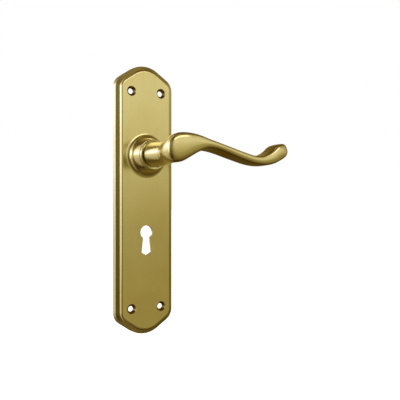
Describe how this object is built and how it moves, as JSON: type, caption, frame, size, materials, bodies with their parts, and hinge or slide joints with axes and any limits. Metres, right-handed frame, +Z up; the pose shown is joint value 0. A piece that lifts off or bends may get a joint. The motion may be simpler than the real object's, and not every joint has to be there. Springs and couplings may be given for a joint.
{
  "type": "lever handle on lock backplate",
  "caption": "Polished brass scroll lever handle on a long stepped backplate with arched ends, a keyhole and countersunk screw holes, for one side of a door.",
  "frame": {"origin": "on the spindle axis, in the plane of the door's face that the plate sits on", "axes": "+X the way the lever points, +Z up, -Y out from the door into the room"},
  "size_m": [0.1224, 0.0958, 0.2],
  "materials": {
    "polished_brass": "polished and lacquered",
    "turned_brass": "turned, unpolished",
    "plated_steel": "zinc plated",
    "bright_steel": "bright turned",
    "spring_steel": "oiled spring temper",
    "black_steel": "black oxide",
    "nylon": "natural white",
    "black_rubber": "moulded"
  },
  "bodies": {
    "plate": {"backplate": "polished_brass", "left_spring_seat": "turned_brass", "right_spring_seat": "turned_brass", "boss_bush": "nylon", "cover_plate": "plated_steel", "rest_stop_pin": "bright_steel", "travel_stop_pin": "bright_steel", "cover_screws": "bright_steel", "left_return_spring": "spring_steel", "right_return_spring": "spring_steel", "rest_stop_sleeve": "black_rubber", "travel_stop_sleeve": "black_rubber"},
    "handle": {"lever": "polished_brass", "neck_washer": "nylon", "spindle": "plated_steel", "grub_screw": "black_steel", "rotor": "plated_steel", "thrust_washer": "bright_steel", "wave_washer": "spring_steel", "circlip": "black_steel"}
  },
  "joints": [
    {"name": "lever_turn", "type": "hinge", "parent": "plate", "child": "handle", "pos_m": [0, 0, 0], "axis": [0, 1, 0], "range_deg": [0, 40], "stiffness_Nm_per_rad": 0.45, "springref_deg": -60, "deforming": ["left_return_spring", "right_return_spring"]}
  ]
}
